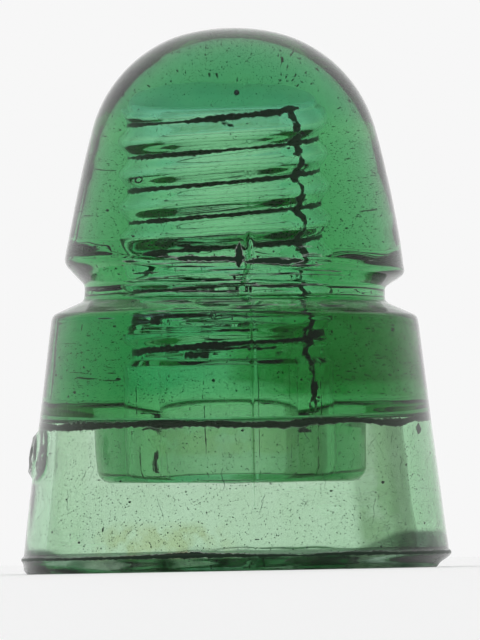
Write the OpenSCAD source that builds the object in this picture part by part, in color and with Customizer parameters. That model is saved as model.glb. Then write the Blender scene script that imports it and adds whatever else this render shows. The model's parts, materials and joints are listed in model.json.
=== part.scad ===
// Pin insulator: a single pressed-glass casting that screws down onto a threaded pin.
// The crown carries a neck groove for the tie wire. Two skirts hang below it: the outer
// one sheds rain, and the inner one surrounds the pinhole.
// The origin is the centre of the resting plane under the base ring. +Z runs up the pinhole.

/* [Crown] */
// Height from the resting plane to the top of the dome
overall_h = 108.6; // [106:0.2:110]
// Radius of the arc across the top of the dome
dome_top_arc_r = 38; // [36:0.5:40]
// Angle from the axis at which the top arc ends
dome_top_angle = 12.5; // [11:0.5:14]
// Radius of the arc that turns the dome into the crown's side
dome_corner_arc_r = 26.7; // [25:0.1:27.5]
// Angle from the axis at which the corner arc ends
dome_corner_angle = 74.5; // [73:0.5:76]
// Radius of the long, nearly straight arc down the crown's side
crown_side_arc_r = 220; // [200:10:260]
// Height of the crown's lower lip
lip_z = 60.4; // [59.8:0.2:62]
// Rounding of the crown's lower lip
lip_fillet = 2; // [1:0.1:2.2]

/* [Wire groove] */
// Radius of the neck at the bottom of the groove
neck_r = 30; // [28.5:0.25:31]
// Height at which the neck starts to open up towards the crown
neck_top_z = 56.9; // [56.4:0.1:57.2]
// Height at which the neck starts to open out towards the skirt
neck_bottom_z = 53.8; // [52.8:0.2:54]
// Rounding at the top and bottom of the neck
neck_fillet = 1.4; // [0.6:0.1:1.5]

/* [Outer skirt] */
// Radius of the shoulder above the outer skirt
shoulder_r = 36.5; // [35.5:0.25:37.5]
// Height of the shoulder's corner
shoulder_z = 50.9; // [50:0.2:51.4]
// Rounding of the shoulder's corner
shoulder_fillet = 1.6; // [0.6:0.1:2]
// Radius of the skirt just above the mould seam
skirt_bottom_r = 42.5; // [41.5:0.25:42.8]
// Inner radius of the outer skirt at its rim
skirt_bore_bottom_r = 37.4; // [36:0.2:37.8]
// Inner radius of the outer skirt at the top of the space between the skirts
skirt_bore_top_r = 34.4; // [33.4:0.2:34.8]

/* [Base ring] */
// Outer radius of the bead at the mould seam
seam_r = 43; // [43:0.1:43.5]
// Height of the seam bead's centre
seam_z = 2.9; // [2.6:0.1:3.2]
// Height of the seam bead
seam_h = 0.8; // [0.6:0.1:1.2]
// Outer radius of the flat ring that the insulator rests on
rest_outer_r = 41; // [40:0.2:41.6]
// Inner radius of the flat ring that the insulator rests on
rest_inner_r = 38.2; // [38:0.1:39]

/* [Inner skirt] */
// Outer radius of the inner skirt at its rim
inner_skirt_r = 26.6; // [26:0.1:27]
// Outer radius of the inner skirt where it joins the body
inner_skirt_top_r = 27.4; // [27.2:0.1:28]
// Height of the inner skirt's rim above the resting plane
inner_skirt_z = 17.1; // [16:0.1:19]
// Rounding of the inner skirt's rim on its outside
inner_skirt_fillet = 3; // [1:0.1:3.5]
// Rounding of the inner skirt's rim at the mouth of the pinhole
mouth_fillet = 2; // [1:0.1:3]
// Height of the roof of the space between the skirts
skirt_gap_top_z = 30.4; // [29:0.2:34]
// Rounding at the roof of the space between the skirts
skirt_gap_fillet = 1.4; // [0.6:0.1:2.5]

/* [Pinhole] */
// Radius of the pinhole at the crests of its thread
crest_r = 12.7; // [12.5:0.05:12.8]
// Radius at the bottom of the thread groove
thread_root_r = 13.7; // [13.5:0.05:13.8]
// Radius of the smooth mouth below the thread
mouth_r = 13.9; // [13.9:0.05:14.2]
// Height at which the smooth mouth gives way to the thread
mouth_top_z = 39.6; // [38:0.2:41]
// Length of the cone that leads from the mouth into the thread
lead_in_h = 1.2; // [1:0.1:2]
// Height of the corner between the pinhole's wall and its domed end
pinhole_rim_z = 89.6; // [89.6:0.2:91]
// Rise of the pinhole's domed end above that corner
pinhole_dome_h = 1; // [0.6:0.2:2]
// Rounding of that corner
pinhole_fillet = 1; // [0.5:0.25:1]
// Distance between thread turns
thread_pitch = 6.35; // [6.3:0.05:6.4]
// Width of the thread groove at its bottom
groove_root_w = 1.4; // [1.2:0.1:1.6]
// Slope of each flank of the thread groove, as width gained per unit of depth
groove_flank = 1.2; // [1:0.05:1.3]
// Height of the middle of the groove where its last turn ends
thread_top_z = 86.4; // [85:0.2:86.4]

/* [Hidden] */

arc_step = 4;                // degrees between points on a rounded corner
dome_steps = 12;             // points on each of the dome's arcs
end_steps = 6;               // points on the arc of the pinhole's domed end
thread_steps = 24;           // rings of the thread groove in each turn
thread_clear = 0.5;          // how far the thread cutter reaches in from the crests
thread_overrun = 1.6;        // how far the thread cutter starts below the mouth's top
thread_start_angle = 127;    // angle of the thread cutter's first ring about the axis
glass_colour = [0.28, 0.6, 0.36, 0.7];
$fn = 96;

thread_bottom_z = mouth_top_z - thread_overrun;
thread_turns = (thread_top_z - thread_bottom_z) / thread_pitch;

function unit(v) = v / norm(v);

// Points of an arc about a centre, with angles in degrees from the +Z axis towards +X
function arc_from_axis(centre, r, from, to, steps) =
    [for (i = [0:steps]) let (a = from + (to - from) * i / steps) centre + r * [sin(a), cos(a)]];

// Points that round the corner at p, which lies between points a and b
function corner_arc(a, p, b, r) =
    let (
        u = unit(a - p),
        v = unit(b - p),
        half = acos(u * v) / 2,
        centre = p + unit(u + v) * r / sin(half),
        start = p + u * r / tan(half) - centre,
        finish = p + v * r / tan(half) - centre,
        a0 = atan2(start.y, start.x),
        swing = (atan2(finish.y, finish.x) - a0 + 540) % 360 - 180,
        steps = ceil(abs(swing) / arc_step)
    )
    [for (i = [0:steps]) let (t = a0 + swing * i / steps) centre + r * [cos(t), sin(t)]];

// An outline through corners given as [radius, height, rounding]
function rounded(corners) =
    [for (i = [0:len(corners) - 1])
        let (c = corners[i], p = [c.x, c.y])
        each c.z == 0 ? [p] : corner_arc(xy(corners[i - 1]), p, xy(corners[i + 1]), c.z)];

function xy(c) = [c.x, c.y];

// Centres of the dome's three tangent arcs
top_centre = [0, overall_h - dome_top_arc_r];
corner_centre = top_centre
    + (dome_top_arc_r - dome_corner_arc_r) * [sin(dome_top_angle), cos(dome_top_angle)];
side_centre = corner_centre
    + (dome_corner_arc_r - crown_side_arc_r) * [sin(dome_corner_angle), cos(dome_corner_angle)];
side_end_angle = acos((lip_z + lip_fillet - side_centre.y) / crown_side_arc_r);
lip_r = side_centre.x + crown_side_arc_r * sin(acos((lip_z - side_centre.y) / crown_side_arc_r));

dome = concat(
    arc_from_axis(top_centre, dome_top_arc_r, 0, dome_top_angle, dome_steps),
    arc_from_axis(corner_centre, dome_corner_arc_r, dome_top_angle, dome_corner_angle,
        2 * dome_steps),
    arc_from_axis(side_centre, crown_side_arc_r, dome_corner_angle, side_end_angle, dome_steps)
);
dome_end = dome[len(dome) - 1];

// Lip, wire groove, shoulder, outer skirt, seam bead and base ring
outside = rounded([
    [dome_end.x, dome_end.y, 0],
    [lip_r, lip_z, lip_fillet],
    [neck_r, neck_top_z, neck_fillet],
    [neck_r, neck_bottom_z, neck_fillet],
    [shoulder_r, shoulder_z, shoulder_fillet],
    [skirt_bottom_r, seam_z + seam_h, 0],
    [seam_r, seam_z + seam_h / 2, 0],
    [seam_r, seam_z - seam_h / 2, 0],
    [rest_outer_r, 0, 0],
    [rest_inner_r, 0, 0]
]);

// The pinhole's domed end, from its rim to the axis
pinhole_end_r = (pow(crest_r, 2) + pow(pinhole_dome_h, 2)) / (2 * pinhole_dome_h);
pinhole_end = arc_from_axis([0, pinhole_rim_z + pinhole_dome_h - pinhole_end_r], pinhole_end_r,
    asin(crest_r / pinhole_end_r), 0, end_steps);

// Inside of the outer skirt, roof between the skirts, inner skirt and pinhole
inside = rounded([
    [skirt_bore_bottom_r, 1, 0],
    [skirt_bore_top_r, skirt_gap_top_z, skirt_gap_fillet],
    [inner_skirt_top_r, skirt_gap_top_z, skirt_gap_fillet],
    [inner_skirt_r, inner_skirt_z, inner_skirt_fillet],
    [mouth_r, inner_skirt_z, mouth_fillet],
    [mouth_r, mouth_top_z, 0],
    [crest_r, mouth_top_z + lead_in_h, 0],
    [crest_r, pinhole_rim_z, pinhole_fillet],
    [pinhole_end[1].x, pinhole_end[1].y, 0]
]);

// One ring of the thread cutter's cross-section, at an angle and a height
function thread_ring(angle, z) =
    let (
        inner_r = crest_r - thread_clear,
        root_half = groove_root_w / 2,
        inner_half = root_half + groove_flank * (thread_root_r - inner_r),
        section = [
            [inner_r, -inner_half], [thread_root_r, -root_half],
            [thread_root_r, root_half], [inner_r, inner_half]
        ]
    )
    [for (s = section) [s.x * cos(angle), s.x * sin(angle), z + s.y]];

// Right-handed helical groove that the pin's thread runs in
module thread_cutter() {
    rings = ceil(thread_turns * thread_steps);
    corners = 4;
    points = [for (i = [0:rings])
        each thread_ring(thread_start_angle + 360 * thread_turns * i / rings,
            thread_bottom_z + thread_turns * thread_pitch * i / rings)];
    sides = [for (i = [0:rings - 1], j = [0:corners - 1])
        let (k = (j + 1) % corners, low = i * corners, high = low + corners)
        each [[low + j, low + k, high + k], [low + j, high + k, high + j]]];
    first_end = [for (j = [1:corners - 2]) [0, j + 1, j]];
    last = rings * corners;
    last_end = [for (j = [1:corners - 2]) [last, last + j, last + j + 1]];
    polyhedron(points, concat(sides, first_end, last_end));
}

// The whole casting: crown, skirts and threaded pinhole in one piece of glass
module glass_body() {
    color(glass_colour)
        difference() {
            rotate_extrude()
                polygon(concat(dome, outside, inside, [for (i = [2:end_steps]) pinhole_end[i]]));
            thread_cutter();
        }
}

glass_body();
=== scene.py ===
import json
import math
import random

import bmesh
import bpy
from mathutils import Matrix, Vector, noise


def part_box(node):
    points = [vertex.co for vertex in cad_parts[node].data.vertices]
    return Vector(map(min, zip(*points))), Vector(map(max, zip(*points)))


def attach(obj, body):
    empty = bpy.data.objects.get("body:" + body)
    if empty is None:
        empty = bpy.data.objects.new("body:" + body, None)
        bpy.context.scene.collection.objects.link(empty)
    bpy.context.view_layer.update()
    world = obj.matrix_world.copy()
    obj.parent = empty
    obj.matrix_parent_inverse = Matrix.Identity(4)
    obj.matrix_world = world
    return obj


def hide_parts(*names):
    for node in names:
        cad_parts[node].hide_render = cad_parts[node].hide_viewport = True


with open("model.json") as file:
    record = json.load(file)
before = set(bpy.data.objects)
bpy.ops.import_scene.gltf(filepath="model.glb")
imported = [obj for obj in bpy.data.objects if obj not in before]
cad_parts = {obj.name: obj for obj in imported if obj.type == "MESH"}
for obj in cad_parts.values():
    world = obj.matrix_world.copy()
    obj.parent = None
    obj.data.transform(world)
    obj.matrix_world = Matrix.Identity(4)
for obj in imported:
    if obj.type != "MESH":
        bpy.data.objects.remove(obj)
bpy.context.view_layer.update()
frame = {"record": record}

# Green pressed-glass pin insulator. Its overall size, its pinhole and its neck come from the
# frame. Lengths are in millimetres, and each piece is scaled to metres when it is made. Only the
# camera and the floor are given in metres. The camera looks along +Y.

MM = 0.001
TURN = 2 * math.pi
FRONT = -math.pi / 2

node_low, node_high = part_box("glass_body")
mounts = {m["name"]: m for m in frame["record"]["mounts"]}
height = (node_high[2] - node_low[2]) / MM
seam_r = (node_high[0] - node_low[0]) / 2 / MM
crest_r = mounts["pin_hole"]["dims"]["r_mm"]
neck_r = mounts["wire_groove"]["dims"]["r_mm"]
neck_z = mounts["wire_groove"]["pos_m"][2] / MM

# Crown
dome_top_arc, dome_top_angle = 38.0, 12.5
dome_corner_arc, dome_corner_angle = 26.7, 74.5
crown_side_arc = 220.0
lip_z, lip_fillet = 60.4, 2.0

# Neck, shoulder, outer skirt and base ring
neck_half_h, neck_fillet = 1.55, 1.4
shoulder_r, shoulder_z, shoulder_fillet = 36.5, 50.9, 1.6
skirt_bottom_r = seam_r - 0.5
seam_z, seam_h = 2.9, 0.8
rest_outer_r, rest_inner_r = 41.0, 38.2

# Hollow of the skirts
skirt_wall_r, skirt_wall_z = 37.4, 1.0
roof_r, roof_z, roof_fillet = 34.4, 30.4, 1.0
inner_skirt_r, inner_skirt_top_r, inner_skirt_z = 26.6, 27.4, 17.1
inner_skirt_fillet, mouth_fillet = 3.0, 2.0

# Pinhole
mouth_r, mouth_top_z, lead_in_h = 13.9, 39.6, 1.2
pinhole_rim_z, pinhole_dome_h, pinhole_fillet = 89.6, 1.0, 1.0
pitch = 6.35
thread_depth = 1.3
ridge_front_z = 43.7
thread_low = mouth_top_z + lead_in_h + 1
thread_high = pinhole_rim_z - pinhole_fillet

# How the real casting departs from a body of revolution
seam_angle = FRONT + math.radians(5.5)
body_shift, body_lean = 0.45, 0.0128
ring_shift = -0.45
row_tilt, lip_tilt, roof_tilt = 0.0187, 0.03, 0.0235
front_seam_h, back_seam_h, seam_w = 0.22, 0.03, 0.3
crease_ridge_h, crease_depth = 0.55, 0.3
crease_arc = 1.5                 # how far round from the front seam the crease lies
lump_z, lump_h, lump_half_h, lump_half_w = 23.0, 1.3, 3.0, 5.0


def smoothstep(low, high, x):
    t = min(max((x - low) / (high - low), 0.0), 1.0)
    return t * t * (3 - 2 * t)


def between(low, high, soft, x):
    """1 from low to high, fading to 0 over soft on either side."""
    return smoothstep(low - soft, low, x) * (1 - smoothstep(high, high + soft, x))


def bell(x, width):
    return math.exp(-((x / width) ** 2))


def turn_from(angle, centre):
    """Signed angle from centre to angle, between -pi and pi."""
    return (angle - centre + math.pi) % TURN - math.pi


def front_angle(degrees):
    """An angle about the axis, counted in degrees from the front towards +X."""
    return FRONT + math.radians(degrees)


# ---------------------------------------------------------------- outline

def arc(centre, radius, start, end, step):
    """Points of an arc; angles in degrees from the +Z axis towards +X."""
    steps = max(2, math.ceil(abs(math.radians(end - start)) * radius / step))
    angles = [math.radians(start + (end - start) * i / steps) for i in range(steps + 1)]
    return [(centre[0] + radius * math.sin(a), centre[1] + radius * math.cos(a)) for a in angles]


def rounded(corners, arc_step=0.5):
    """An outline through (radius, height, rounding) corners."""
    points = []
    for i, (r, z, fillet) in enumerate(corners):
        p = Vector((r, z))
        if fillet == 0:
            points.append((r, z))
            continue
        u = (Vector(corners[i - 1][:2]) - p).normalized()
        v = (Vector(corners[i + 1][:2]) - p).normalized()
        half = u.angle(v) / 2
        centre = p + (u + v).normalized() * fillet / math.sin(half)
        start = p + u * fillet / math.tan(half) - centre
        end = p + v * fillet / math.tan(half) - centre
        a0 = math.atan2(start.y, start.x)
        swing = (math.atan2(end.y, end.x) - a0 + math.pi) % TURN - math.pi
        steps = max(2, math.ceil(abs(swing) * fillet / arc_step))
        for k in range(steps + 1):
            a = a0 + swing * k / steps
            points.append((centre.x + fillet * math.cos(a), centre.y + fillet * math.sin(a)))
    return points


def spaced(points, step, fine_step=0.0, low=0.0, high=0.0):
    """The same outline with extra points, so that no stretch is longer than step, or than
    fine_step between the heights low and high."""
    out = [points[0]]
    for (r0, z0), (r1, z1) in zip(points, points[1:]):
        length, done = math.hypot(r1 - r0, z1 - z0), 0.0
        while done < length - 0.01:
            z = z0 + (z1 - z0) * done / length
            done += fine_step if low < z < high else step
            t = min(done / length, 1.0)
            out.append((r0 + (r1 - r0) * t, z0 + (z1 - z0) * t))
    return out


def dome_outline():
    """Three tangent arcs from the apex down to the crown's lip."""
    def polar(angle):
        return Vector((math.sin(math.radians(angle)), math.cos(math.radians(angle))))

    top = Vector((0, height - dome_top_arc))
    corner = top + (dome_top_arc - dome_corner_arc) * polar(dome_top_angle)
    side = corner + (dome_corner_arc - crown_side_arc) * polar(dome_corner_angle)
    lip_angle = math.degrees(math.acos((lip_z - side.y) / crown_side_arc))
    side_end = math.degrees(math.acos((lip_z + lip_fillet - side.y) / crown_side_arc))
    lip_r = side.x + crown_side_arc * math.sin(math.radians(lip_angle))
    points = arc(top, dome_top_arc, 0, dome_top_angle, 1.2)
    points += arc(corner, dome_corner_arc, dome_top_angle, dome_corner_angle, 1.1)[1:]
    points += arc(side, crown_side_arc, dome_corner_angle, side_end, 1.2)[1:]
    return points, lip_r


def pinhole_end():
    """The pinhole's domed end, from the last of the wall to the axis."""
    dome_arc = (crest_r ** 2 + pinhole_dome_h ** 2) / (2 * pinhole_dome_h)
    centre = (0, pinhole_rim_z + pinhole_dome_h - dome_arc)
    edge = math.degrees(math.asin(crest_r / dome_arc))
    dome = arc(centre, dome_arc, edge, 0, 1.0)
    corner = [(crest_r, thread_high, 0), (*dome[0], pinhole_fillet), (*dome[2], 0)]
    return rounded(corner)[:-1] + dome[2:]


def outlines():
    """The casting's outline in order, as (side, points) stretches that share their ends."""
    dome, lip_r = dome_outline()
    neck = rounded([
        (*dome[-1], 0),
        (lip_r, lip_z, lip_fillet),
        (neck_r, neck_z + neck_half_h, neck_fillet),
        (neck_r, neck_z - neck_half_h, neck_fillet),
        (shoulder_r, shoulder_z, shoulder_fillet),
        (shoulder_r + 0.7, 46.0, 0),
    ])
    skirt = [neck[-1], (skirt_bottom_r, seam_z + seam_h)]
    ring = rounded([
        (*skirt[-1], 0),
        (seam_r, seam_z + 0.25, 0.15),
        (seam_r, seam_z - 0.25, 0.15),
        (rest_outer_r, 0, 0.5),
        (rest_inner_r, 0, 0),
    ], 0.25)
    hollow = rounded([
        (rest_inner_r, 0, 0),
        (skirt_wall_r, skirt_wall_z, 0.8),
        (roof_r, roof_z, roof_fillet),
        (inner_skirt_top_r, roof_z, roof_fillet),
        (inner_skirt_r, inner_skirt_z, inner_skirt_fillet),
        (mouth_r, inner_skirt_z, mouth_fillet),
        (mouth_r, mouth_top_z, 0.4),
        (crest_r, mouth_top_z + lead_in_h, 0.4),
        (crest_r, thread_low, 0),
    ])
    return [
        ("outer", spaced(dome, 1.4)),
        ("outer", spaced(neck, 0.45)),
        ("outer", spaced(skirt, 1.4, 0.35, seam_z, 9)),
        ("outer", spaced(ring, 0.3)),
        ("inner", spaced(hollow, 1.3, 0.35, roof_z - 4, roof_z + 0.2)),
        ("thread", None),
        ("inner", spaced(pinhole_end(), 1.2)),
    ]


# ---------------------------------------------------------------- surface detail

def wave(x, y, z, size):
    return noise.noise(Vector((x / size, y / size, z / size)))


def stretched(angle, r, z, across, along, seed):
    """Noise drawn out round the axis, as flow lines in pressed glass are."""
    x, y = r * math.cos(angle), r * math.sin(angle)
    return noise.noise(Vector((x / across, y / across + seed, z / along)))


def outer_relief(angle, r, z):
    """How far the outside of the casting stands off its outline, in mm."""
    x, y = r * math.cos(angle), r * math.sin(angle)
    relief = 0.12 * wave(x, y, z, 22.0) + 0.03 * wave(x + 50, y, z, 6.0)
    wrinkled = smoothstep(40, 50, z) * (1 - smoothstep(63, 70, z))
    wrinkled *= 0.3 + 0.7 * math.sin(angle) ** 2
    relief += wrinkled * 0.14 * stretched(angle, r, z, 18.0, 1.3, 3.0)
    relief += wrinkled * 0.09 * stretched(angle, r, z, 8.0, 0.7, 9.0)
    relief += 0.02 * stretched(angle, r, z, 20.0, 2.2, 14.0)
    return relief + seam_relief(angle, r, z) + lump_relief(angle, r, z)


def crease_drift(z):
    """How far the crease beside the front seam wanders to one side at a height, in mm."""
    return 0.5 * math.sin((z - 52) * 0.45)


def seam_relief(angle, r, z):
    """The two mould seams, and the crease that runs across the wire groove on the front one."""
    relief = 0.0
    strength = smoothstep(0, 3, z) * (1 - 0.75 * smoothstep(62, 66, z))
    for side, line_h in ((0, front_seam_h), (math.pi, back_seam_h)):
        arc_mm = turn_from(angle, seam_angle + side) * r
        relief += strength * line_h * bell(arc_mm, seam_w)
        if side == 0:
            drift = crease_drift(z)
            relief += between(54, 64, 1.5, z) * crease_ridge_h * bell(arc_mm + 0.4 + drift, 0.55)
            relief -= between(55, 63, 1.5, z) * crease_depth * bell(arc_mm + crease_arc + drift, 0.5)
    return relief


def lump_relief(angle, r, z):
    """A pressed-on lump of glass at the left of the outer skirt."""
    arc_mm = turn_from(angle, math.pi) * r
    rough = 0.8 + 0.7 * noise.noise(Vector((arc_mm / 3, z / 2.2, 5.0)))
    at_height = between(lump_z - lump_half_h, lump_z + lump_half_h, 1.8, z)
    return lump_h * rough * bell(arc_mm, lump_half_w) * at_height


def inner_relief(angle, r, z):
    """How far the surfaces that the plunger formed stand off their outline, in mm."""
    x, y = r * math.cos(angle), r * math.sin(angle)
    return 0.06 * wave(x, y + 90, z, 14.0) + 0.02 * stretched(angle, r, z, 9.0, 1.1, 27.0)


def sideways(side, z):
    """How far the section at height z is shifted towards +X, in mm."""
    above = body_shift + body_lean * z if side == "outer" else 0.0
    return ring_shift + (above - ring_shift) * smoothstep(0.6, 2.4, z)


def ridge_offset(angle, z):
    """Height of a point above the crest of the thread's nearest turn, in mm."""
    middle = ridge_front_z + pitch * turn_from(angle, FRONT) / TURN
    return (z - middle + pitch / 2) % pitch - pitch / 2


def groove_depth(offset):
    """Depth of the rounded thread groove at a height offset from the nearest crest, in mm."""
    return thread_depth * (0.5 - 0.5 * math.cos(TURN * offset / pitch))


def in_thread(z):
    return thread_low - 1 < z < thread_high + 0.6


def columns():
    """Angles of the mesh's columns: even, with extra ones beside the two mould seams."""
    even, mean_r = 216, 36.0
    angles = {round(TURN * i / even, 6) for i in range(even)}
    for side in (0, math.pi):
        for mm in (-2.4, -1.9, -1.5, -1.1, -0.8, -0.55, -0.28, 0, 0.28, 0.55, 1.1):
            angles.add(round((seam_angle + side + mm / mean_r) % TURN, 6))
    return sorted(angles)


# ---------------------------------------------------------------- the casting

class Casting:
    """Collects the rows of points that make up the casting's closed surface."""

    def __init__(self):
        self.angles = columns()
        self.count = len(self.angles)
        self.points, self.faces = [], []

    def add_row(self, row):
        first = len(self.points)
        self.points.extend(row)
        return list(range(first, first + len(row)))

    def join(self, above, below):
        for j in range(self.count):
            k = (j + 1) % self.count
            self.faces.append((above[j], below[j], below[k], above[k]))

    def turned(self, side, outline, index):
        """One row: the outline's point at index, turned through every column."""
        r, z = outline[index]
        r0, z0 = outline[max(index - 1, 0)]
        r1, z1 = outline[min(index + 1, len(outline) - 1)]
        along = Vector((r1 - r0, z1 - z0)).normalized()
        out = Vector((-along.y, along.x))
        shift = sideways(side, z)
        tilt = 0.0
        if side == "outer":
            tilt = row_tilt * smoothstep(3.5, 12, z) + lip_tilt * bell(z - lip_z - 1, 4)
        near_roof = smoothstep(18, 26, z) * smoothstep(20, 26, r) if side == "inner" else 0.0
        row = []
        for angle in self.angles:
            relief = outer_relief(angle, r, z) if side == "outer" else inner_relief(angle, r, z)
            relief *= smoothstep(0, 6, r)
            x = (r + out.x * relief) * math.cos(angle)
            y = (r + out.x * relief) * math.sin(angle)
            rise = out.y * relief if z > 0.3 else 0.0
            rise += y * roof_tilt * near_roof
            row.append(Vector((x + shift, y, z + rise - x * tilt)))
        return self.add_row(row)

    def threaded_wall(self, below):
        """The threaded wall. Its rows climb with the helix, so the groove stays smooth, and they
        are held between the levels of the rows below and above it."""
        offsets = (-2.75, -2.1, -1.5, -1.0, -0.6, -0.3, 0, 0.3, 0.6, 1.0, 1.5, 2.1, 2.75)
        start = ridge_front_z - pitch * (turn_from(FRONT, 0) % TURN) / TURN - pitch
        turns = math.ceil((thread_high - start) / pitch) + 1
        rows = []
        for level in (start + pitch * t + o for t in range(turns) for o in offsets):
            row = []
            for angle in self.angles:
                z = min(max(level + pitch * angle / TURN, thread_low), thread_high)
                fade = between(thread_low + 1.5, thread_high - 0.4, 0.4, z)
                r = crest_r + groove_depth(ridge_offset(angle, z)) * fade
                r += 0.5 * inner_relief(angle, crest_r, z) * fade
                row.append(Vector((r * math.cos(angle), r * math.sin(angle), z)))
            rows.append(self.add_row(row))
        per_turn = len(offsets)
        for k in range(len(rows) - 1):
            for j in range(self.count - 1):
                self.faces.append((rows[k][j], rows[k + 1][j], rows[k + 1][j + 1], rows[k][j + 1]))
            if k + 1 + per_turn < len(rows):
                self.faces.append((rows[k][-1], rows[k + 1][-1],
                                   rows[k + 1 + per_turn][0], rows[k + per_turn][0]))
        ends = []
        for z in (thread_low, thread_high):
            circle = [Vector((crest_r * math.cos(a), crest_r * math.sin(a), z)) for a in self.angles]
            ends.append(self.add_row(circle))
        self.join(below, ends[0])
        return ends[1]

    def build(self):
        previous = None
        for side, outline in outlines():
            if side == "thread":
                previous = self.threaded_wall(previous)
                continue
            for i in range(1 if previous else 0, len(outline)):
                r, z = outline[i]
                if r > 1e-6:
                    row = self.turned(side, outline, i)
                else:
                    row = self.add_row([Vector((sideways(side, z), 0, z))]) * self.count
                if previous:
                    self.join(previous, row)
                previous = row


def mesh_object(name, points, faces, weld=0.0):
    """A smooth-shaded mesh object in metres from points in mm."""
    mesh = bpy.data.meshes.new(name)
    bm = bmesh.new()
    verts = [bm.verts.new(p * MM) for p in points]
    for face in faces:
        corners = list(dict.fromkeys(verts[v] for v in face))
        if len(corners) > 2:
            bm.faces.new(corners)
    if weld:
        bmesh.ops.remove_doubles(bm, verts=bm.verts, dist=weld * MM)
        bmesh.ops.dissolve_degenerate(bm, dist=weld * MM, edges=bm.edges)
    bmesh.ops.recalc_face_normals(bm, faces=bm.faces)
    for face in bm.faces:
        face.smooth = True
    open_edges = sum(1 for edge in bm.edges if len(edge.link_faces) != 2)
    print(name, len(bm.verts), "points", len(bm.faces), "faces", open_edges, "open edges")
    bm.to_mesh(mesh)
    bm.free()
    piece = bpy.data.objects.new(name, mesh)
    bpy.context.scene.collection.objects.link(piece)
    return piece


# ---------------------------------------------------------------- grime, painted shade, tints and stains

CLEAN = -1.0                     # level of grime and painted shade on bare glass

# Tints over the glass, as factors on the red, green and blue of its base colour. Among them
# are painted shade on the crown's sides and on the base ring, and the painted colour of a
# teal-green surround seen through the upper skirt. The easing takes back part of the
# hollow's tint beside the inner skirt.
NO_TINT = (1.0, 1.0, 1.0)
DOME_TINT = (0.42, 0.7, 0.84)
# painted shade on the crown's sides
CROWN_SIDE_PAINTED_SHADE = (0.6, 0.8, 0.9)
# painted colour of a teal-green surround seen through the upper skirt
UPPER_SKIRT_PAINTED_SURROUND = (0.22, 0.72, 0.6)
UPPER_SKIRT_RIGHT_TINT = (0.08, 0.46, 0.12)
LOWER_SKIRT_LEFT_TINT = (0.83, 0.93, 0.8)
LOWER_SKIRT_RIGHT_TINT = (0.6, 0.76, 0.57)
# painted shade on the base ring
RING_PAINTED_SHADE = (0.08, 0.24, 0.13)
RING_WEDGE_TINT = (0.02, 0.08, 0.04)
HOLLOW_WALL_TINT = (0.70, 0.79, 0.66)
HOLLOW_RIGHT_TINT = (0.26, 0.36, 0.22)
HOLLOW_MIDDLE_EASING = (1.28, 1.0, 1.25)
INNER_SKIRT_FILM = (1.0, 0.92, 0.9)

skirt_surround_z = 34.2                           # where the upper skirt's painted surround starts
crown_shade_z, dome_tint_z = 64, 84            # where the crown sides' painted shade and the dome's tint start
hollow_right_from, hollow_right_to = 57, 130  # degrees between which its tint is darker
side_tint_from, side_tint_to = 0.78, 0.86     # shares of the radius where the sides' tints fade in
dark_turns_top_z = 56.0                          # below it the thread's turns carry the most residue and painted shade
run_top_z, run_foot_z = 90, 27.0              # ends of the run down the bore
run_angle, run_lean = 54.5, 0.135             # degrees from the front at its top, and shift per mm
spot_angle, spot_z = 75, 27.0                 # the spot on the outer skirt's inside
streaks = ((-7, 5, 61.4), (6, 4, 60.6))       # painted shade on the lip beside the crease: middle and reach across, height
mouth_run_angles = (-96, -84, -72, 70, 98, 150, 205)


def from_front(angle):
    """Degrees about the axis from the front to an angle, positive towards +X."""
    return math.degrees(turn_from(angle, FRONT))


def outward(angle):
    return Vector((math.cos(angle), math.sin(angle), 0.0))


def line(distance, half_width):
    """1 in the middle of a dark line, 0 at its edge, and less beyond."""
    return max(1 - abs(distance) / half_width, CLEAN)


def thread_residue_and_shade(angle, r, z):
    """Dark paint on the thread's crests, partly residue and partly painted shade for the dark
    lines that the turns make, patches of it on the lower turns, and a broken band of painted
    shade just above the level of the lip."""
    x, y = r * math.cos(angle), r * math.sin(angle)
    low_turns = 1 - smoothstep(dark_turns_top_z, dark_turns_top_z + 10, z)
    uneven = noise.noise(Vector((x / 6, y / 6, z / 7 + 4)))
    half_width = 0.5 + 0.4 * uneven + 0.3 * low_turns
    front = between(-95, 95, 12, from_front(angle))
    level = line(ridge_offset(angle, z), half_width * (0.25 + 0.75 * front))
    patch = stretched(angle, r, z, 9.0, 0.9, 31.0) + 0.4 * stretched(angle, r, z, 4.0, 0.5, 8.0)
    level = max(level, 3.0 * (patch - 0.78 + 0.4 * low_turns * math.sin(angle) ** 2))
    above_lip = between(63.2, 64.2, 0.7, z) * between(-44, 0, 14, from_front(angle))
    return max(level, above_lip * (0.7 + 2.4 * patch) - 0.4)


def bore_run(angle, r, z):
    """A ragged run of residue down the right of the bore, widest just above each crest."""
    spread = 1.1 + 0.7 * noise.noise(Vector((0.0, 7.0, z / 3.0)))
    if in_thread(z):
        spread += 1.1 * bell(ridge_offset(angle, z) - 0.8, 1.3)
    middle = front_angle(run_angle + run_lean * (run_top_z - z))
    x, y = r * math.cos(angle), r * math.sin(angle)
    blotch = noise.noise(Vector((x / 1.2, y / 1.2, z / 1.4)))
    run = 0.8 - abs(turn_from(angle, middle) * r) / max(spread, 0.3) + blotch
    return run - 3 * (1 - smoothstep(run_foot_z, run_foot_z + 4, z))


def mouth_runs(angle, r, z):
    """Hair-thin runs of residue down the smooth mouth."""
    level = CLEAN
    for degrees in mouth_run_angles:
        wander = 0.5 * noise.noise(Vector((degrees, z / 5, 1.0)))
        half_width = 0.14 + 0.14 * noise.noise(Vector((degrees, z / 3, 6.0)))
        arc_mm = turn_from(angle, front_angle(degrees)) * r + wander
        level = max(level, line(arc_mm, max(half_width, 0.08)))
    return level


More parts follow.
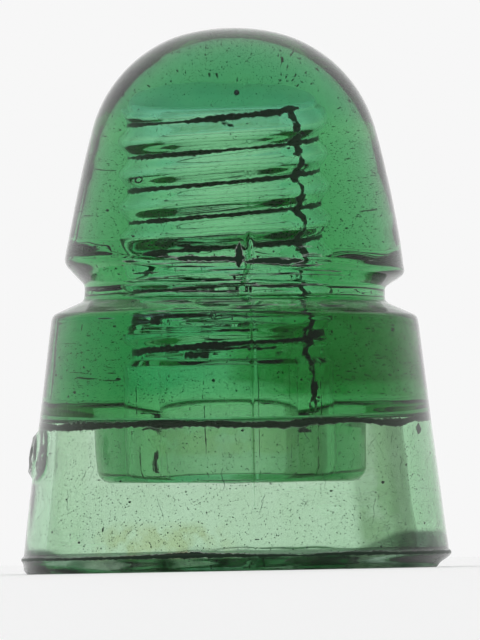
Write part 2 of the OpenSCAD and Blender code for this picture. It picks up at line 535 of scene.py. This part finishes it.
def bore_residue_and_shade(angle, r, z):
    """Dark residue on the pinhole's wall, with painted shade on the thread's lines and above the
    lip.
    """
    if r < crest_r - 0.6:
        return CLEAN
    level = max(CLEAN, bore_run(angle, r, z))
    if in_thread(z):
        level = max(level, thread_residue_and_shade(angle, r, z))
    if z < mouth_top_z + 1:
        level = max(level, mouth_runs(angle, r, z))
    return level


def hollow_shade_and_spot(angle, r, z):
    """Painted shade in the corner under the roof between the skirts, painted shade along the
    roof's outer edge at the back, and one spot on the outer skirt's inside."""
    around, degrees = outward(angle), from_front(angle)
    roof = roof_z + r * math.sin(angle) * roof_tilt
    level = CLEAN
    if r > roof_r - roof_fillet - 0.4:
        front = between(-100, 100, 14, degrees)
        wander = noise.noise(around * 2.2 + Vector((0, 0, 0.5)))
        wander += 0.6 * noise.noise(around * 5 + Vector((0, 0, 4.0)))
        half_width = 0.85 + 0.6 * noise.noise(around * 4 + Vector((0, 0, 9.0)))
        # painted shade in the corner under the roof
        level = line(z - roof + 1.05 - 0.6 * wander, half_width * front + 0.01)
        spot_arc = turn_from(angle, front_angle(spot_angle)) * r
        level = max(level, line(math.hypot(spot_arc / 1.4, (z - spot_z) / 1.3), 1.0))
    # painted shade along the roof's outer edge at the back
    if z > roof - 1.5:
        back = 1 - between(-128, 128, 12, degrees)
        back_noise = noise.noise(around * 3 + Vector((0, 0, 3.0)))
        half_width = 0.2 + 1.2 * max(back_noise, 0)
        level = max(level, line(r - roof_r + 0.8, back * half_width + 0.01))
    return level


def crease_line_and_lip_shade(angle, r, z):
    """A dark line in the crease beside the front seam, and a streak of painted shade on the lip on
    either side of it.
    """
    arc_mm = turn_from(angle, seam_angle) * r
    half_width = 0.2 + 0.6 * between(60.5, 63, 2.5, z)
    level = line(arc_mm + crease_arc + crease_drift(z), half_width)
    # streaks of painted shade on the lip
    for middle, reach, streak_z in streaks:
        wander = 0.5 * noise.noise(Vector((arc_mm / 4, streak_z, 2.0)))
        half_width = 0.6 * between(middle - reach, middle + reach, 3, arc_mm)
        level = max(level, line(z - streak_z - wander, half_width + 0.01))
    return level


def seam_line_darkening(angle, z):
    """A dark line along the front of the seam bead at the base."""
    around = outward(angle) * 7
    uneven = noise.noise(around / 3) + 0.5 * noise.noise(around)
    front = between(-95, 95, 12, from_front(angle))
    return line(z - seam_z - 0.1 - 0.3 * uneven, front * (0.45 + 0.35 * uneven) + 0.01)


def outer_marks_and_shade(angle, r, z):
    """Dark marks on the outside: in the crease, painted shade on the lip, along the seam bead and on
    the lump.
    """
    level = CLEAN
    if 54 < z < 65:
        level = crease_line_and_lip_shade(angle, r, z)
    if z < seam_z + 3:
        level = seam_line_darkening(angle, z)
    # the lump painted dark
    lump_arc = turn_from(angle, math.pi) * r
    if abs(lump_arc) < 9 and abs(z - lump_z) < 7:
        ragged = noise.noise(Vector((lump_arc / 2, z / 1.6, 8.0)))
        spread = math.hypot(lump_arc / 3.4, (z - lump_z) / 4.0)
        level = max(level, 1.0 - spread + 1.2 * ragged)
    return level


def with_tint(tint, overlay, amount):
    """The tint of glass with one more tint laid over it, by an amount from 0 to 1."""
    return [t * (1 + (f - 1) * amount) for t, f in zip(tint, overlay)]


def hollow_tint(angle, r, z):
    """The tint over the outer skirt's inside."""
    tint = with_tint(NO_TINT, HOLLOW_WALL_TINT, smoothstep(0.5, 4, z))
    right = between(hollow_right_from, hollow_right_to, 6, from_front(angle))
    tint = with_tint(tint, HOLLOW_RIGHT_TINT, right)
    beside_inner_skirt = between(18, 28, 2, z) * bell(r * math.cos(angle), 19)
    return with_tint(tint, HOLLOW_MIDDLE_EASING, beside_inner_skirt)


def outside_tint(angle, r, z):
    """The tint over the outside of the crown, the skirt and the ring. Among its parts are painted
    shade on the crown's sides and on the base ring, and the painted colour of a teal-green
    surround seen through the upper skirt.
    """
    degrees, to_side = from_front(angle), math.cos(angle)
    eased_middle = 1 - 0.4 * bell(r * to_side, 15)
    upper = between(skirt_surround_z, shoulder_z - 0.4, 0.8, z)
    # painted colour of a teal-green surround seen through the glass, eased across the middle
    tint = with_tint(NO_TINT, UPPER_SKIRT_PAINTED_SURROUND, upper * eased_middle)
    crown_side = between(crown_shade_z, dome_tint_z, 3, z)
    # painted shade on the crown's sides, strongest towards +X and -X
    tint = with_tint(tint, CROWN_SIDE_PAINTED_SHADE, crown_side * to_side ** 2)
    right = between(18, 165, 25, degrees) * between(skirt_surround_z, shoulder_z + 0.1, 1, z)
    tint = with_tint(tint, UPPER_SKIRT_RIGHT_TINT, right)
    tint = with_tint(tint, DOME_TINT, smoothstep(dome_tint_z, dome_tint_z + 10, z))
    # painted shade on the base ring, darkest across the front and front right
    darkest_part = 0.35 + 0.65 * between(-36, 62, 14, degrees)
    tint = with_tint(tint, RING_PAINTED_SHADE, darkest_part * (1 - smoothstep(seam_z, seam_z + 0.6, z)))
    lower_sides = smoothstep(side_tint_from, side_tint_to, abs(to_side))
    lower_sides *= between(seam_z + 1, 34, 1, z)
    side_tint = LOWER_SKIRT_RIGHT_TINT if to_side > 0 else LOWER_SKIRT_LEFT_TINT
    tint = with_tint(tint, side_tint, lower_sides)
    wedge_z = seam_z - 0.5 + 4.5 * between(55, 75, 30, degrees)
    wedge_z += 2 * between(-90, -65, 20, degrees)
    return with_tint(tint, RING_WEDGE_TINT, 1 - smoothstep(wedge_z, wedge_z + 0.9, z))


def surface_paint(angle, r, z):
    """Levels of grime and painted shade, flow lines and stain, whether the surface is inside, and
    its tint.
    """
    degrees, facing = from_front(angle), math.sin(angle) ** 2
    if r < mouth_r + 1 and z < pinhole_rim_z + 3.4:
        stain = 0.6 * smoothstep(pinhole_rim_z - 0.8, pinhole_rim_z + 0.2, z)
        flow = 1.2 * between(43, 62, 5, z) * (0.4 + 0.6 * facing)
        return bore_residue_and_shade(angle, r, z), flow, stain, 1.0, NO_TINT
    if z < roof_z + 0.7 and r < rest_inner_r - 0.2:
        if r > (roof_r + inner_skirt_top_r) / 2:
            return hollow_shade_and_spot(angle, r, z), 0.0, 0.0, 1.0, hollow_tint(angle, r, z)
        stain = 0.6 * between(23.5, 27, 1.5, z) * between(-28, 22, 12, degrees)
        return hollow_shade_and_spot(angle, r, z), 0.0, stain, 1.0, INNER_SKIRT_FILM
    flow = smoothstep(40, 46, z) * (1 - smoothstep(64, 80, z))
    flow *= 0.5 + 0.95 * between(51, 61, 3, z) * facing
    stain = 0.7 * between(4, 8, 2, z) * between(-32, -8, 12, degrees)
    return outer_marks_and_shade(angle, r, z), flow, stain, 0.0, outside_tint(angle, r, z)


def paint(mesh):
    """Gives every point the levels that the glass material reads."""
    names = ("grime_and_shade", "flow", "stain", "inside")
    levels = {name: [] for name in names}
    tints = []
    for vertex in mesh.vertices:
        x, y, z = (c / MM for c in vertex.co)
        *found, tint = surface_paint(math.atan2(y, x), math.hypot(x, y), z)
        for name, level in zip(names, found):
            levels[name].append(level)
        tints += tint
    for name, values in levels.items():
        mesh.attributes.new(name, "FLOAT", "POINT").data.foreach_set("value", values)
    mesh.attributes.new("tint", "FLOAT_VECTOR", "POINT").data.foreach_set("vector", tints)


# ---------------------------------------------------------------- seeds and cords in the glass

OUTER_PATH = [p for side, outline in outlines() if side == "outer" for p in outline]


def outer_radius(z):
    """Radius of the casting's outside at a height."""
    for (r0, z0), (r1, z1) in zip(OUTER_PATH, OUTER_PATH[1:]):
        if z1 <= z <= z0 and z0 > z1:
            return r0 + (r1 - r0) * (z0 - z) / (z0 - z1)
    return 0.0


def inner_radius(z):
    """Radius of the hollow that the glass surrounds at a height, outside the inner skirt."""
    if z < roof_z + 1:
        return skirt_wall_r - (skirt_wall_r - roof_r) * z / roof_z
    return thread_depth + crest_r + 0.5 if z < pinhole_rim_z + 2.5 else 0.0


def ball(centre, radii, spin, rings, sides):
    """Points and faces of an ellipsoid, turned about Z by spin."""
    points, faces = [], []
    turn = Matrix.Rotation(spin, 3, "Z")
    for i in range(1, rings):
        polar = math.pi * i / rings
        for j in range(sides):
            a = TURN * j / sides
            p = Vector((radii[0] * math.sin(polar) * math.cos(a),
                        radii[1] * math.sin(polar) * math.sin(a), radii[2] * math.cos(polar)))
            points.append(centre + turn @ p)
    top = len(points)
    points += [centre + Vector((0, 0, radii[2])), centre - Vector((0, 0, radii[2]))]
    last = (rings - 2) * sides
    for j in range(sides):
        k = (j + 1) % sides
        faces.append((top, j, k))
        faces.append((top + 1, last + k, last + j))
        for i in range(rings - 2):
            upper, lower = i * sides, (i + 1) * sides
            faces.append((upper + j, lower + j, lower + k, upper + k))
    return points, faces


def tube(path, radius, sides=5):
    """Points and faces of a thin closed thread that tapers at both ends."""
    points, faces = [], []
    for i, p in enumerate(path):
        ahead = path[min(i + 1, len(path) - 1)] - path[max(i - 1, 0)]
        across = ahead.cross(Vector((0.3, 1.0, 0.2))).normalized()
        other = ahead.cross(across).normalized()
        r = radius * (0.25 + 0.75 * math.sin(math.pi * (i + 0.5) / len(path)))
        for j in range(sides):
            a = TURN * j / sides
            points.append(p + r * (across * math.cos(a) + other * math.sin(a)))
    for i in range(len(path) - 1):
        for j in range(sides):
            k = (j + 1) % sides
            this, following = i * sides, (i + 1) * sides
            faces.append((this + j, this + k, following + k, following + j))
    faces.append(tuple(reversed(range(sides))))
    faces.append(tuple(range(len(points) - sides, len(points))))
    return points, faces


def gather(shapes):
    points, faces = [], []
    for shape_points, shape_faces in shapes:
        first = len(points)
        points += shape_points
        faces += [tuple(first + v for v in face) for face in shape_faces]
    return points, faces


def under_surface(angle, z, depth):
    """A point in the glass, depth mm inside the outer surface."""
    r = outer_radius(z) - depth
    return Vector((r * math.cos(angle) + sideways("outer", z), r * math.sin(angle), z))


def at_front(x, z, depth=0.8):
    """A point in the glass behind the front surface, x mm towards +X from the axis."""
    r = outer_radius(z) - depth
    x = min(max(x, -r), r)
    return Vector((x + sideways("outer", z), -math.sqrt(r * r - x * x), z))


SEED_COUNT, FLECK_COUNT, CORD_COUNT = 14000, 16000, 34
large_seed = 0.2                 # seeds with this half-size or more are made round
cord_r, cord_points = 42.0, 9    # about the radius where the cords lie, and points along each

# Bubbles that stand out on the front: place across, height, half-width and half-height
DARK_BUBBLES = [
    (0.6, 94.2, 0.55, 0.65), (2.4, 100.6, 0.15, 0.1), (-14.0, 97.6, 0.15, 0.1),
    (20.6, 96.9, 0.25, 0.2), (-9.6, 94.1, 0.15, 0.15), (4.5, 93.9, 0.15, 0.15),
    (-4.4, 91.8, 0.15, 0.15), (-32.6, 35.0, 0.3, 0.25),
]
CLEAR_BUBBLES = [
    (-8.6, 103.5, 0.25, 0.12), (1.2, 101.6, 0.25, 0.14), (7.8, 103.5, 0.2, 0.1),
    (13.4, 96.3, 0.3, 0.2), (10.6, 96.5, 0.28, 0.22), (-18.6, 77.4, 0.95, 0.72),
    (-4.2, 50.2, 0.6, 0.9), (-29.0, 78.6, 0.4, 0.3), (27.0, 47.0, 0.35, 0.4),
    (-1.0, 22.5, 0.3, 0.4), (14.0, 30.5, 0.3, 0.3), (-14.0, 33.5, 0.3, 0.4),
]


def in_glass(draw, angle):
    """A point anywhere in the glass of the crown and the outer skirt, at an angle."""
    z = draw.uniform(2, 106)
    outside, inside = outer_radius(z) - 0.5, inner_radius(z) + 0.5
    r = math.sqrt(draw.uniform(inside ** 2, max(outside, inside) ** 2))
    return Vector((r * math.cos(angle) + sideways("outer", z), r * math.sin(angle), z))


def seed_shapes(draw):
    """Small dark bubbles all through the glass, with a few larger ones."""
    shapes = [ball(at_front(x, z), (w, w, h), 0, 8, 12) for x, z, w, h in DARK_BUBBLES]
    for _ in range(SEED_COUNT):
        angle = draw.uniform(0, TURN)
        centre = in_glass(draw, angle)
        size = draw.uniform(0.06, 0.15) * (1 + 1.2 * draw.random() ** 40)
        size *= 1 - 0.35 * smoothstep(60, 90, centre.z)
        radii = (size * draw.uniform(0.8, 1.5), size * draw.uniform(0.8, 1.5), size)
        rings, sides = (6, 9) if size >= large_seed else (2, 5)
        shapes.append(ball(centre, radii, angle, rings, sides))
    return shapes


def fleck_shapes(draw):
    """The finest bubbles, which the eye sees as grain."""
    shapes = []
    for _ in range(FLECK_COUNT):
        size = draw.uniform(0.045, 0.085)
        shapes.append(ball(in_glass(draw, draw.uniform(0, TURN)), (size, size, size), 0, 2, 4))
    return shapes


def bubble_shapes():
    """The larger bubbles, whose clear middles show."""
    return [ball(at_front(x, z), (w, w, h), 0, 12, 20) for x, z, w, h in CLEAR_BUBBLES]


def cord_shapes(draw):
    """Hair-thin dark threads just under the surface of the outer skirt."""
    shapes = []
    for _ in range(CORD_COUNT):
        z, angle = draw.uniform(5, 30), draw.uniform(0, TURN)
        lean, length = draw.uniform(-0.7, 0.7), draw.uniform(0.8, 5.0)
        bend = draw.uniform(-0.9, 0.9)
        path = []
        for k in range(cord_points):
            t = k / (cord_points - 1) - 0.5
            rise = length * t
            sway = bend * math.sin(4 * t) + 0.15 * draw.uniform(-1, 1)
            path.append(under_surface(angle + (rise * lean + sway) / cord_r, z + rise, 0.5))
        shapes.append(tube(path, draw.uniform(0.035, 0.07)))
    return shapes


# ---------------------------------------------------------------- materials

GLASS_IOR, SPECULAR_TINT = 1.52, (0.3, 0.3, 0.3, 1)
GLASS_COLOUR, GLASS_DENSITY = (0.2, 0.7, 0.36, 1), 60.0
SHEEN, SHEEN_ROUGHNESS = 0.5, 0.3
SMOOTH, WORN, DIRT_AND_SHADE_ROUGH = 0.005, 0.03, 0.5     # roughness of the glass, and what the dark paint of residue and painted shade adds to it
BARE_GLASS = (1, 1, 1, 1)
# dark paint for grime and painted shade, outside and inside
OUTER_DIRT_AND_SHADE = (0.004, 0.018, 0.007, 1)
INNER_DIRT_AND_SHADE = (0.014, 0.03, 0.012, 1)
STAIN_COLOUR = (0.75, 0.62, 0.3, 1)
# painted shade for the bubbles, a darker and a less dark tone
SEED_DARK, SEED_LIGHT = (0.006, 0.02, 0.012, 1), (0.02, 0.045, 0.03, 1)


def new_material(name):
    material = bpy.data.materials.new(name)
    material.use_nodes = True
    return material, material.node_tree.nodes, material.node_tree.links


class Graph:
    """Short forms for the nodes that the materials use."""

    def __init__(self, material):
        self.nodes, self.links = material.node_tree.nodes, material.node_tree.links

    def attribute(self, name):
        node = self.nodes.new("ShaderNodeAttribute")
        node.attribute_name = name
        return node.outputs["Fac"]

    def put(self, value, socket):
        if isinstance(value, bpy.types.NodeSocket):
            self.links.new(value, socket)
        else:
            socket.default_value = value

    def math(self, operation, a, b=0.0, clamp=False):
        node = self.nodes.new("ShaderNodeMath")
        node.operation, node.use_clamp = operation, clamp
        self.put(a, node.inputs[0])
        self.put(b, node.inputs[1])
        return node.outputs[0]

    def ramp(self, value, low, high, out_low=0.0, out_high=1.0):
        node = self.nodes.new("ShaderNodeMapRange")
        node.interpolation_type = "SMOOTHSTEP"
        for socket, x in zip(node.inputs, (value, low, high, out_low, out_high)):
            self.put(x, socket)
        return node.outputs["Result"]

    def noise(self, scale, stretch=(1, 1, 1), shift=0.0, detail=2.0):
        """Noise whose features are about scale mm across, drawn out by stretch."""
        coords = self.nodes.new("ShaderNodeTexCoord")
        mapping = self.nodes.new("ShaderNodeMapping")
        self.links.new(coords.outputs["Object"], mapping.inputs["Vector"])
        mapping.inputs["Location"].default_value = (shift, shift, shift)
        mapping.inputs["Scale"].default_value = [1 / (scale * MM * s) for s in stretch]
        node = self.nodes.new("ShaderNodeTexNoise")
        node.inputs["Scale"].default_value = 1.0
        node.inputs["Detail"].default_value = detail
        self.links.new(mapping.outputs["Vector"], node.inputs["Vector"])
        return node.outputs["Fac"]

    def mix(self, factor, a, b):
        node = self.nodes.new("ShaderNodeMix")
        node.data_type = "RGBA"
        self.put(factor, node.inputs[0])
        for value, socket in ((a, node.inputs[6]), (b, node.inputs[7])):
            self.put(value, socket)
        return node.outputs[2]


def glass_material():
    material, nodes, links = new_material("green_glass")
    graph = Graph(material)
    shader = nodes["Principled BSDF"]
    shader.inputs["IOR"].default_value = GLASS_IOR
    shader.inputs["Specular Tint"].default_value = SPECULAR_TINT
    shader.inputs["Sheen Weight"].default_value = SHEEN
    shader.inputs["Sheen Roughness"].default_value = SHEEN_ROUGHNESS

    # Dark residue and painted shade, their edges broken up by fine noise
    ragged = graph.math("MULTIPLY", graph.math("SUBTRACT", graph.noise(0.9, shift=2), 0.5), 1.3)
    residue_shade_mask = graph.ramp(graph.math("ADD", graph.attribute("grime_and_shade"), ragged), 0.05, 0.35)

    # Dark flow lines drawn out round the axis
    flow = graph.attribute("flow")
    thin = graph.noise(0.45, (26, 26, 1), 5)
    thick = graph.noise(1.3, (11, 11, 1), 11)
    limit = graph.math("SUBTRACT", 0.86, graph.math("MULTIPLY", flow, 0.22))
    lines = graph.ramp(graph.math("SUBTRACT", thin, limit), 0.0, 0.05)
    bands = graph.ramp(graph.math("SUBTRACT", thick, limit), 0.0, 0.04)
    bands = graph.math("MULTIPLY", bands, graph.attribute("inside"))
    dark = graph.math("MAXIMUM", residue_shade_mask, graph.math("MAXIMUM", lines, bands), clamp=True)
    dirt_shade_colour = graph.mix(graph.attribute("inside"), OUTER_DIRT_AND_SHADE, INNER_DIRT_AND_SHADE)

    # Tints over the surface, painted shade and a painted teal-green surround among them, and
    # yellow-brown stains, both patchy
    tint = nodes.new("ShaderNodeAttribute")
    tint.attribute_name = "tint"
    patchy = graph.ramp(graph.noise(6.0, detail=4.0), 0.3, 0.65, 0.82, 1.0)
    colour = graph.mix(patchy, BARE_GLASS, tint.outputs["Vector"])
    stain = graph.math("MULTIPLY", graph.attribute("stain"), graph.ramp(graph.noise(4), 0.35, 0.6))
    colour = graph.mix(stain, colour, STAIN_COLOUR)
    colour = graph.mix(dark, colour, dirt_shade_colour)
    links.new(colour, shader.inputs["Base Color"])
    links.new(graph.ramp(dark, 0, 1, 1, 0), shader.inputs["Transmission Weight"])
    rough = graph.ramp(graph.noise(2.5), 0.35, 0.7, SMOOTH, WORN)
    rough = graph.math("ADD", rough, graph.math("MULTIPLY", dark, DIRT_AND_SHADE_ROUGH))
    links.new(rough, shader.inputs["Roughness"])

    absorb = nodes.new("ShaderNodeVolumeAbsorption")
    absorb.inputs["Color"].default_value = GLASS_COLOUR
    absorb.inputs["Density"].default_value = GLASS_DENSITY
    links.new(absorb.outputs["Volume"], nodes["Material Output"].inputs["Volume"])
    return material


def seed_material():
    """Bubbles too small to see through, painted dark: painted shade for the dark that light bent at
    their walls gives them, a little uneven.
    """
    material, nodes, links = new_material("seed_dark")
    graph = Graph(material)
    shader = nodes["Principled BSDF"]
    shader.inputs["Roughness"].default_value = 0.35
    tone = graph.ramp(graph.noise(0.6), 0.3, 0.7)
    links.new(graph.mix(tone, SEED_DARK, SEED_LIGHT), shader.inputs["Base Color"])
    return material


def bubble_material():
    """Bubbles with a painted dark rim round a clear middle: painted shade for the rim that light
    bent at their walls darkens.
    """
    material, nodes, links = new_material("bubble_rim")
    graph = Graph(material)
    facing = nodes.new("ShaderNodeLayerWeight")
    facing.inputs["Blend"].default_value = 0.5
    shader = nodes["Principled BSDF"]
    shader.inputs["Base Color"].default_value = SEED_DARK
    links.new(graph.ramp(facing.outputs["Facing"], 0.15, 0.4), shader.inputs["Alpha"])
    return material


# ---------------------------------------------------------------- camera, light and floor

def make_camera():
    """A long lens just above the floor, level with the base, rolled by a degree. In metres."""
    centre_x, centre_z = 0.0021, 0.0501
    distance, eye_z, view_h = 1.748, 0.003, 0.128
    roll_degrees = -1.07
    eye = Vector((centre_x, -distance, eye_z))
    data = bpy.data.cameras.new("camera")
    data.sensor_fit = "VERTICAL"
    data.angle_y = 2 * math.atan(view_h / 2 / distance)
    camera = bpy.data.objects.new("camera", data)
    bpy.context.scene.collection.objects.link(camera)
    aim = Vector((centre_x, 0, centre_z)) - eye
    turn = aim.to_track_quat("-Z", "Y").to_matrix().to_4x4()
    roll = Matrix.Rotation(math.radians(roll_degrees), 4, "Z")
    camera.matrix_world = Matrix.Translation(eye) @ turn @ roll
    bpy.context.scene.camera = camera


# Brightness of the studio as (direction, level), from 0 behind the camera to 1 behind the object
LIGHT_LEVELS = [(0.0, 0.88), (0.5, 0.97), (0.8, 0.93), (0.93, 0.8), (0.965, 0.8), (0.992, 0.93)]


def make_world():
    """A white studio: a bright backdrop with a slightly dimmer ring round it, and bright sides."""
    world = bpy.data.worlds.new("studio")
    bpy.context.scene.world = world
    world.use_nodes = True
    nodes, links = world.node_tree.nodes, world.node_tree.links
    background = nodes["Background"]
    background.inputs["Color"].default_value = (1, 1, 1, 1)
    coords = nodes.new("ShaderNodeTexCoord")
    split = nodes.new("ShaderNodeSeparateXYZ")
    place = nodes.new("ShaderNodeMath")
    place.operation = "MULTIPLY_ADD"
    place.inputs[1].default_value, place.inputs[2].default_value = 0.5, 0.5
    ramp = nodes.new("ShaderNodeValToRGB")
    ramp.color_ramp.interpolation = "EASE"
    stops = ramp.color_ramp.elements
    stops[1].position = LIGHT_LEVELS[-1][0]
    for position, level in LIGHT_LEVELS[1:-1]:
        stops.new(position)
    for stop, (position, level) in zip(stops, LIGHT_LEVELS):
        stop.color = (level, level, level, 1)
    links.new(coords.outputs["Generated"], split.inputs[0])
    links.new(split.outputs["Y"], place.inputs[0])
    links.new(place.outputs[0], ramp.inputs["Fac"])
    links.new(ramp.outputs["Color"], background.inputs["Strength"])


def make_floor():
    size = 3.0
    mesh = bpy.data.meshes.new("floor")
    mesh.from_pydata([(-size, -size, 0), (size, -size, 0), (size, size, 0), (-size, size, 0)],
                     [], [(0, 1, 2, 3)])
    floor = bpy.data.objects.new("floor", mesh)
    floor.location.z = node_low[2]
    bpy.context.scene.collection.objects.link(floor)
    material, nodes, _ = new_material("floor_white")
    nodes["Principled BSDF"].inputs["Base Color"].default_value = (0.97, 0.97, 0.97, 1)
    nodes["Principled BSDF"].inputs["Roughness"].default_value = 0.6
    mesh.materials.append(material)


scene = bpy.context.scene
scene.view_settings.view_transform = "Standard"
scene.cycles.max_bounces = 48
scene.cycles.transmission_bounces = 48
scene.cycles.glossy_bounces = 24
scene.cycles.volume_bounces = 0
make_camera()
make_world()
make_floor()

casting = Casting()
casting.build()
glass = mesh_object("glass_insulator", casting.points, casting.faces, weld=0.02)
paint(glass.data)
glass.data.materials.append(glass_material())
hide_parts("glass_body")
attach(glass, "root")

draw = random.Random(7)
dark_glass = seed_material()
for name, shapes, material in (("seeds", seed_shapes(draw), dark_glass),
                               ("flecks", fleck_shapes(draw), dark_glass),
                               ("cords", cord_shapes(draw), dark_glass),
                               ("bubbles", bubble_shapes(), bubble_material())):
    piece = mesh_object(name, *gather(shapes))
    piece.data.materials.append(material)
    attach(piece, "root")
